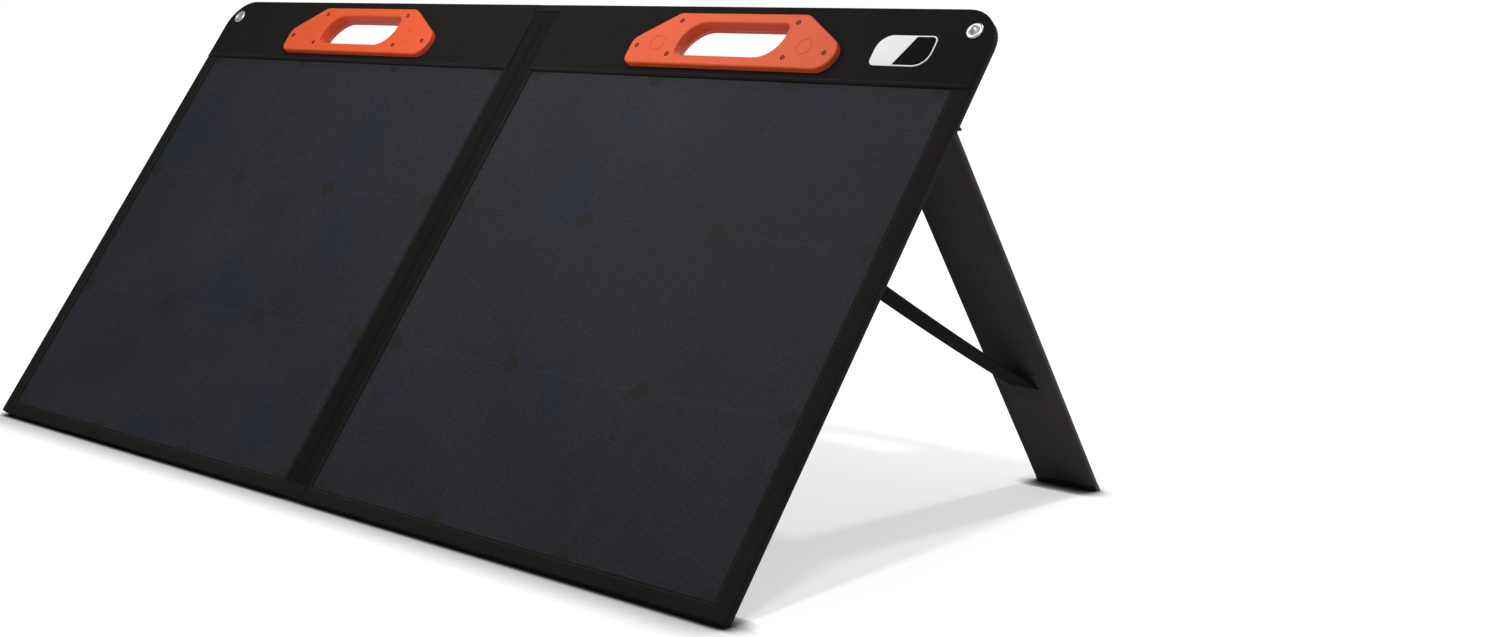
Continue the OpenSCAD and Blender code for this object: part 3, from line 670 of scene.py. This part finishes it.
half_profile = [(0.0008, 0.0070), (0.0022, 0.0079), (0.0045, 0.0087), (0.0075, 0.0090), (0.0105, 0.0088),
                (0.0128, 0.0081), (0.0142, 0.0079), (0.0158, 0.0083)]
front_profile = [(-x, z) for x, z in reversed(half_profile)] + [(0, 0.0064)] + half_profile
spine_front = sewn_strip("fold_front_cloth", front_profile, 0.0115, 0.5700, 0.0009, steps=60)
for vertex in spine_front.data.vertices:
    # the ridges flatten towards the top tape
    fade = max(0, (vertex.co.y - 0.54) / 0.03)
    if vertex.co.z > 0.0058:
        vertex.co.z += (0.0092 - vertex.co.z) * fade * fade * (3 - 2 * fade) * 0.85
back_profile = [(x / 1000, cover_thick) for x in range(-16, 17)]
spine_back = sewn_strip("fold_back_cloth", back_profile, 0.0120, 0.5640, 0.0011)
hem_profile = [(0.0130, 0.0005), (0.0014, 0.0005), (0.0006, 0.0010), (0.0004, 0.0020), (0.0004, 0.0068),
               (0.0006, 0.0076), (0.0014, 0.0082), (0.0060, 0.0084), (0.0135, 0.0088)]
cap_profile = [(0.5630, 0.0005), (0.5725, 0.0005), (0.5733, 0.0010), (0.5736, 0.0020), (0.5736, 0.0076),
               (0.5733, 0.0088), (0.5725, 0.0092), (0.5655, 0.0092)]
fold_hem = sewn_strip("fold_hem_tape", hem_profile, -fold_edge, fold_edge, 0.0009, across=True, steps=20)
fold_cap = sewn_strip("fold_top_tape", cap_profile, -fold_edge, fold_edge, 0.0009, across=True, steps=20)
ribbon = sewn_strip("wiring_ribbon", [(x / 1000, 0.0056) for x in range(-15, 17, 2)], 0.036, 0.058, 0.0005)
ribbon_finish = mottled_finish("copper_ribbon", (0.5, 0.24, 0.11), (0.66, 0.35, 0.17),
                               roughness=0.35, scale=220, metallic=1.0)
fold_finish = woven_finish("fold_cloth", (0.0045, 0.0041, 0.0038), (0.0136, 0.0124, 0.0117), threads=1300)
for piece, finish, slot, node_name in ((spine_front, fold_finish, "fabric", "spine_front"),
                                       (spine_back, cover_finish, "fabric", "spine_back"),
                                       (fold_hem, tape_finish, "webbing", None),
                                       (fold_cap, tape_finish, "webbing", None),
                                       (ribbon, ribbon_finish, "ribbon", "link_ribbon")):
    lay_on_panel(piece)
    coat(piece, finish)
    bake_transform(piece)
    if node_name:
        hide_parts(node_name)


# The carry handles: two orange moulded shells screwed together through the band. Each
# has rounded rims, a collar that lines the hand opening, flared at the back, and two bosses.
handle_finish = mottled_finish("orange_plastic", (0.65, 0.079, 0.0195), (0.73, 0.099, 0.028),
                               roughness=0.45, scale=260, specular=0.25, bump=0.12)
handle_face, handle_back, front_rim, back_rim = 0.0161, -0.0065, 0.0018, 0.004
handle_corners = [(-0.124, -0.0295), (0.115, -0.0295), (0.124, -0.004), (0.073, 0.0295), (-0.079, 0.0295),
                  (-0.124, -0.0015)]
handle_rounds = (0.008, 0.012, 0.0125, 0.004, 0.0035, 0.006)


def lining(hand, start, end, outside, inside, flare):
    """A ring that lines the opening, as wide at its end as flare says."""
    ring = cut_plate("lining", *hand_opening(hand, *outside), start, end, hand_opening(hand, *inside))
    x, y = handle_places[hand]
    x += opening_shift
    old_wide, old_tall = opening_wide + sum(inside), opening_tall + inside[0]
    wide, tall = opening_wide + sum(flare), opening_tall + flare[0]
    for vertex in ring.data.vertices:
        u, v = vertex.co.x - x, vertex.co.y - y
        if abs(vertex.co.z - end) < 1e-6 and abs(u) < old_wide + 1e-5 and abs(v) < old_tall + 1e-5:
            vertex.co.x = x + u * wide / old_wide
            vertex.co.y = y + v * tall / old_tall
    return ring


def handle_shell(name, hand, start, face, rim, opening, linings):
    x, y = handle_places[hand]
    shell = cut_plate(name, [(x + u, y + v) for u, v in handle_corners], handle_rounds, start, face,
                      hand_opening(hand, *opening), rim=rim)
    parts = [shell, *linings]
    for u in (-0.091, 0.084):
        bpy.ops.mesh.primitive_torus_add(major_radius=0.008, minor_radius=0.0004, major_segments=48,
                                         minor_segments=8, location=(x + u, y - 0.006, face))
        parts.append(bpy.context.object)
    gather(name, parts)
    lay_on_panel(shell)
    return shell


# how much the opening grows, both ways and across, in the collars and at the back
straight, snug, collar_outside = (0.0, 0.0), (0.00003, 0.0), (0.0025, 0.0)
throat_outside, throat_start, throat_end = (0.0025, 0.005), (0.0021, 0.0), (0.0023, 0.0047)
for hand in ("right", "left"):
    collar = lining(hand, start=0.0099, end=0.0041, outside=collar_outside, inside=snug, flare=snug)
    front_shell = handle_shell(hand + "_handle_front_shell", hand, band_face, handle_face, front_rim,
                               straight, [collar])
    fit(front_shell, handle_finish, hand + "_panel", "handle", hand + "_handle_front")
    collar = lining(hand, start=0.0038, end=0, outside=collar_outside, inside=straight, flare=throat_start)
    throat = lining(hand, start=0, end=-0.0025, outside=throat_outside, inside=throat_start, flare=throat_end)
    back_shell = handle_shell(hand + "_handle_back_shell", hand, 0, handle_back, back_rim,
                              throat_end, [collar, throat])
    fit(back_shell, handle_finish, hand + "_panel", "handle", hand + "_handle_back")


# The handle screws: small dark cross-head screws, six to a handle, with heads that stand
# just proud of the front shell's face. Their reddish-brown tint is painted recess shade.
# dark steel heads, tinted reddish brown as painted shade of the recesses round them
screw_and_recess_shade_finish = mottled_finish("screw_steel_with_painted_recess_shade", (0.020, 0.008, 0.005), (0.05, 0.019, 0.011),
                              roughness=0.6, scale=500, specular=0.2)
screw_spots = ((-0.073, 0.02), (0.065, 0.02), (0.109, -0.012), (0.066, -0.0185), (-0.072, -0.0185),
               (-0.115, -0.0095))
screw_middle, slot_middle = 0.0156, 0.0164
for hand in ("right", "left"):
    x, y = handle_places[hand]
    screws = []
    for u, v in screw_spots:
        bpy.ops.mesh.primitive_cylinder_add(vertices=24, radius=0.0026, depth=0.0016,
                                            location=(x + u, y + v, screw_middle))
        screw = bpy.context.object
        soften(screw, 0.0005, 2)
        for turn in (0.5, 0.5 + math.pi / 2):
            bpy.ops.mesh.primitive_cube_add(size=1, location=(x + u, y + v, slot_middle),
                                            rotation=(0, 0, turn))
            slot_cutter = bpy.context.object
            slot_cutter.scale = (0.0034, 0.0008, 0.0014)
            cut_away(screw, slot_cutter)
        freeze(screw)
        screws.append(screw)
    screw_set = gather(hand + "_screw_set", screws)
    lay_on_panel(screw_set)
    fit(screw_set, screw_and_recess_shade_finish, hand + "_panel", "screw", hand + "_handle_screws")


# The eyelets: bright nickel, a domed flange in front and a barrel rolled over a washer
# behind, pressed through the outer top corner of each band.
for hand in ("right", "left"):
    x, y = eyelet_places[hand]
    bpy.ops.mesh.primitive_torus_add(major_radius=0.0060, minor_radius=0.0020, major_segments=64,
                                     minor_segments=20, location=(x, y, 0.0101))
    ring = bpy.context.object
    ring.scale = (1, 1, 0.7)
    freeze(ring)
    bpy.ops.mesh.primitive_torus_add(major_radius=0.0052, minor_radius=0.0010, major_segments=64,
                                     minor_segments=16, location=(x, y, -0.0012))
    roll = bpy.context.object
    bpy.ops.mesh.primitive_cylinder_add(vertices=64, radius=0.0046, depth=0.0115, end_fill_type="NOTHING",
                                        location=(x, y, 0.0045))
    barrel = bpy.context.object
    apply_modifier(barrel, "SOLIDIFY", thickness=0.0005, offset=-1)
    gather(hand + "_eyelet_ring", [ring, roll, barrel])
    lay_on_panel(ring)
    fit(ring, nickel_finish, hand + "_panel", "nickel", hand + "_eyelet")
    dress(hand + "_eyelet_washer", nickel_finish)


# The legs: stiff boards in a sewn sleeve of dark grey twill. The sleeve is round at the top,
# where the tab holds it, and ends above a moulded foot that is cut flat to the ground.
leg_turn = panel_tilt + math.radians(75.914)
leg_width, leg_thick, sleeve_top, sleeve_end = 0.066, 0.005, 0.0025, -0.449
leg_face, patch_face = 0.00255, 0.0037
leg_places = {hand: Vector(hinges[hand + "_leg_hinge"]["pos_m"]) for hand in ("right", "left")}
foot_finish = mottled_finish("foot_plastic", (0.011, 0.0105, 0.01), (0.02, 0.019, 0.018),
                             roughness=0.5, scale=300, specular=0.3, bump=0.1)

for hand in ("right", "left"):
    leg_finish = woven_finish(hand + "_leg_twill", (0.0376, 0.0344, 0.0320), (0.1056, 0.0968, 0.0912),
                              threads=1100, turn=leg_turn, place=leg_places[hand])
    bpy.ops.object.select_all(action="DESELECT")
    bpy.ops.mesh.primitive_cube_add(size=1)
    leg = bpy.context.object
    leg.name = leg.data.name = hand + "_leg_cover"
    for vertex in leg.data.vertices:
        y = sleeve_end if vertex.co.y < 0 else sleeve_top
        vertex.co = (vertex.co.x * leg_width, y, vertex.co.z * leg_thick)
    only(leg)
    select_none("EDGE")
    ends = leg.data.vertices
    for edge in leg.data.edges:
        first, second = (ends[i].co for i in edge.vertices)
        edge.select = first.y > 0 and second.y > 0 and abs(first.x - second.x) > 0.01
    bpy.ops.object.mode_set(mode="EDIT")
    bpy.ops.mesh.bevel(offset=0.0024, segments=6, affect="EDGES")
    bpy.ops.object.mode_set(mode="OBJECT")
    soften(leg, 0.0007, 3, 50)
    settle(leg, leg_turn, leg_places[hand])
    fit(leg, leg_finish, hand + "_leg", "fabric", hand + "_leg_sleeve")
    seams = [stitch_row((x, -0.012), (x, -0.444), z)
             for x in (-0.0285, 0.0285) for z in (-leg_face, leg_face)]
    seams += [stitch_row((-0.026, y), (0.026, y), -leg_face) for y in (-0.012, -0.440)]
    leg_seams = gather(hand + "_leg_seams", seams)
    settle(leg_seams, leg_turn, leg_places[hand])
    fit(leg_seams, thread_finish, hand + "_leg", "fabric")
    dress(hand + "_leg_board", foot_finish)
    strap_end = cut_plate(hand + "_leg_patch", box_corners(-0.015, -0.328, 0.015, -0.294), (0.001,) * 4,
                          0.0024, patch_face)
    soften(strap_end, 0.0003, 2)
    settle(strap_end, leg_turn, leg_places[hand])
    fit(strap_end, leg_finish, hand + "_leg", "webbing")
    patch_cross = crossed_seams(hand + "_leg_patch_seams", 0, -0.3255, -0.2965, patch_face)
    settle(patch_cross, leg_turn, leg_places[hand])
    fit(patch_cross, thread_finish, hand + "_leg", "fabric")


# The leg tabs: a strip of the frame tape sewn to the back of the panel, which comes down
# over the round top of the leg and holds it like a hood.
leg_mid = {"right": 0.495, "left": -0.194}
hood = [(0.460 + 0.0035 * math.cos(math.radians(a)), -0.0045 + 0.0035 * math.sin(math.radians(a)))
        for a in (40, 25, 10, -5, -20, -38)]
tab_profile = [(0.487, -0.0007), (0.480, -0.0007), (0.473, -0.0007), (0.4685, -0.0009), (0.4655, -0.0014),
               *hood]
for hand in ("right", "left"):
    low, high = leg_mid[hand] - 0.037, leg_mid[hand] + 0.037
    tab = sewn_strip(hand + "_leg_tab_cloth", tab_profile, low, high, 0.0013, across=True)
    soften(tab, 0.0004, 2, 60)
    lay_on_panel(tab)
    fit(tab, tape_finish, hand + "_panel", "webbing", hand + "_leg_tab")
    rows = [stitch_row((low + 0.003, y), (high - 0.003, y), -0.00145) for y in (0.4740, 0.4840)]
    tab_seams = gather(hand + "_tab_seams", rows)
    lay_on_panel(tab_seams)
    fit(tab_seams, thread_finish, hand + "_panel", "fabric")


# The leg straps: flat black webbing from a sewn patch on the back of the panel to the inner
# face of the leg, which stops the leg as it opens. On the real panel it goes slack when the
# leg folds in; here it keeps its open shape and moves with the panel.
strap_finish = woven_finish("strap_webbing", (0.0035, 0.0033, 0.003), (0.0105, 0.0098, 0.0092),
                            threads=560, roughness=0.75)
strap_half, strap_thick = 0.015, 0.0014
strap_low, strap_high = Vector((0.318, -0.0019)), Vector((0.3804, -0.3052))
strap_sag = Vector((-0.788, -0.6157)) * 0.002
strap_profile = []
for step in range(25):
    share = step / 24
    point = strap_low.lerp(strap_high, share) + strap_sag * (4 * share * (1 - share))
    strap_profile.append((point.x, point.y))
for hand in ("right", "left"):
    middle = leg_mid[hand]
    strap = sewn_strip(hand + "_strap_webbing", strap_profile, middle - strap_half, middle + strap_half,
                       strap_thick, across=True)
    lay_on_panel(strap)
    fit(strap, strap_finish, hand + "_panel", "webbing", hand + "_leg_strap")
    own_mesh(strap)
    sewn_down = box_corners(middle - strap_half, 0.301, middle + strap_half, 0.335)
    patch = cut_plate(hand + "_strap_end", sewn_down, (0.001,) * 4, -0.0012, 0)
    soften(patch, 0.0003, 2)
    lay_on_panel(patch)
    fit(patch, strap_finish, hand + "_panel", "webbing", hand + "_strap_patch")
    patch_seams = crossed_seams(hand + "_strap_seams", middle, 0.3035, 0.3325, -0.00125)
    lay_on_panel(patch_seams)
    fit(patch_seams, thread_finish, hand + "_panel", "fabric")


# The pouch's base, sewn flat to the back of the left panel: a cloth back, a low wall round
# it and a covered cord along the seam.
pouch_out, pouch_in, pouch_low, pouch_top, pouch_corner = -0.444, -0.25, 0.032, 0.404, 0.024
wall, cord = -0.0016, 0.0026
pouch_finish = woven_finish("pouch_cloth", (0.0107, 0.0101, 0.0096), (0.0313, 0.0297, 0.0283), threads=1300)
piping_finish = mottled_finish("piping_tape", (0.012, 0.0115, 0.011), (0.028, 0.0268, 0.026),
                               roughness=0.45, scale=700, specular=0.4)


def pouch_plate(name, grow, low, high):
    return cut_plate(name, box_corners(pouch_out - grow, pouch_low - grow, pouch_in + grow, pouch_top + grow),
                     (pouch_corner + grow,) * 4, low, high)


def pouch_ring(name, outer, inner, low, high):
    ring = pouch_plate(name, outer, low, high)
    cut_away(ring, pouch_plate("cutter", inner, -0.1, 0.1))
    return ring


pouch_back = pouch_plate("pouch_back_cloth", grow=0, low=-0.001, high=-0.0001)
soften(pouch_back, 0.0003, 2)
lay_on_panel(pouch_back)
fit(pouch_back, pouch_finish, "left_panel", "fabric", "pouch_back")
pouch_wall = pouch_ring("pouch_base_wall", outer=0, inner=wall, low=-0.013, high=-0.001)
soften(pouch_wall, 0.0005, 2)
lay_on_panel(pouch_wall)
fit(pouch_wall, pouch_finish, "left_panel", "fabric", "pouch_gusset")
base_piping = pouch_ring("pouch_base_cord", outer=cord, inner=0, low=-cord, high=0)
soften(base_piping, 0.0011, 4)
lay_on_panel(base_piping)
fit(base_piping, piping_finish, "left_panel", "webbing", "pouch_base_piping")


# The pouch's cover: a shallow tray of stiffened cloth with a soft crown, a sewn groove near
# its edge and a covered cord round its face. It swings on the inner side.
cover_face = -0.028
pouch_cover = pouch_plate("pouch_cover_tray", grow=0, low=cover_face, high=-0.0164)
cut_away(pouch_cover, pouch_plate("cutter", grow=wall, low=-0.0258, high=0.1))
soften(pouch_cover, 0.0012, 3)
only(pouch_cover)
select_none("FACE")
for face in pouch_cover.data.polygons:
    face.select = face.normal.z < -0.95 and abs(face.center.z - cover_face) < 1e-4
bpy.ops.object.mode_set(mode="EDIT")
groove_and_crown = ((0.006, 0), (0.0009, -0.0006), (0.0009, 0.0006), (0.012, 0.0009), (0.018, 0.0008),
                    (0.02, 0.0005), (0.018, 0.0002))
for width, rise in groove_and_crown:
    bpy.ops.mesh.inset(thickness=width, depth=rise)
bpy.ops.object.mode_set(mode="OBJECT")
lay_on_panel(pouch_cover)
fit(pouch_cover, pouch_finish, "pouch_cover", "fabric", "pouch_cover")
cover_piping = pouch_ring("pouch_cover_cord", outer=cord, inner=0, low=cover_face, high=cover_face + cord)
soften(cover_piping, 0.0011, 4)
lay_on_panel(cover_piping)
fit(cover_piping, piping_finish, "pouch_cover", "webbing", "pouch_cover_piping")


# The zip runs over the top and down the outer side: two woven tapes with a row of coil teeth
# each. Along the other two sides the walls are joined by a soft strip, which folds on the real
# pouch; here it keeps its closed shape.
tape_cloth = woven_finish("zip_tape", (0.004, 0.0038, 0.0036), (0.012, 0.0113, 0.0108), threads=1500)
tooth_finish = mottled_finish("zip_teeth", (0.008, 0.008, 0.008), (0.022, 0.022, 0.022),
                              roughness=0.35, scale=900)
# outlines that cut away the half of a ring along the hinge, or along the zip
hinged_half = [(pouch_out, pouch_low), (pouch_out, -0.2), (0, -0.2), (0, 0.7), (pouch_in, 0.7),
               (pouch_in, pouch_top)]
zipped_half = [(-0.7, pouch_low), (pouch_out, pouch_low), (pouch_in, pouch_top), (pouch_in, 0.7), (-0.7, 0.7)]
tooth_pitch = 0.002


def tooth_row(level, lead):
    """Teeth from the bottom of the outer side, round the corner and along the top."""
    x, y, reach = pouch_out + pouch_corner, pouch_top - pouch_corner, pouch_corner - 0.00015
    turns = [math.pi - (math.pi / 2) * (step + lead / tooth_pitch) / 18 for step in range(19)]
    stops = [(x + reach * math.cos(turn), y + reach * math.sin(turn)) for turn in turns]
    stops = [(x - reach, 0.062 + lead), *stops, (-0.27, y + reach)]
    return [stitch_row(start, end, level, tooth_pitch, (0.0012, 0.0008, 0.0012))
            for start, end in zip(stops, stops[1:])]


for name, body, node_name, low, high, level, lead in (
        ("zip_base_cloth", "left_panel", "zip_base_tape", -0.01455, -0.013, -0.0144, 0),
        ("zip_cover_cloth", "pouch_cover", "zip_cover_tape", -0.0164, -0.01485, -0.0150, 0.001)):
    zip_cloth = pouch_ring(name, outer=0, inner=wall, low=low, high=high)
    cut_away(zip_cloth, cut_plate("cutter", hinged_half, (0,) * 6, -0.1, 0.1))
    soften(zip_cloth, 0.0003, 2)
    lay_on_panel(zip_cloth)
    fit(zip_cloth, tape_cloth, body, "zip", node_name)
    teeth = gather(name + "_teeth", tooth_row(level, lead))
    lay_on_panel(teeth)
    fit(teeth, tooth_finish, body, "zip")

fold_cloth = pouch_ring("pouch_fold_cloth", outer=0, inner=wall, low=-0.0163, high=-0.0131)
cut_away(fold_cloth, cut_plate("cutter", zipped_half, (0,) * 5, -0.1, 0.1))
soften(fold_cloth, 0.0003, 2)
lay_on_panel(fold_cloth)
coat(fold_cloth, pouch_finish)
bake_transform(fold_cloth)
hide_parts("pouch_fold_strip")

slider_finish = mottled_finish("dark_zip_metal", (0.03, 0.03, 0.03), (0.075, 0.073, 0.07),
                               roughness=0.35, scale=500, metallic=0.7, bump=0.1)
dress("zip_slider", slider_finish)
dress("zip_pull", slider_finish)


# The junction box inside the pouch: a moulded tub with its circuit board and lid, and a
# plugged gland where a lead would leave.
box_finish = mottled_finish("box_plastic", (0.012, 0.012, 0.012), (0.022, 0.022, 0.021),
                            roughness=0.5, scale=250, specular=0.4, bump=0.15)
circuit_finish = mottled_finish("circuit_board", (0.012, 0.07, 0.03), (0.022, 0.1, 0.045),
                                roughness=0.4, scale=150)
for node_name in ("junction_base", "junction_lid", "cable_gland"):
    dress(node_name, box_finish)
dress("junction_board", circuit_finish)
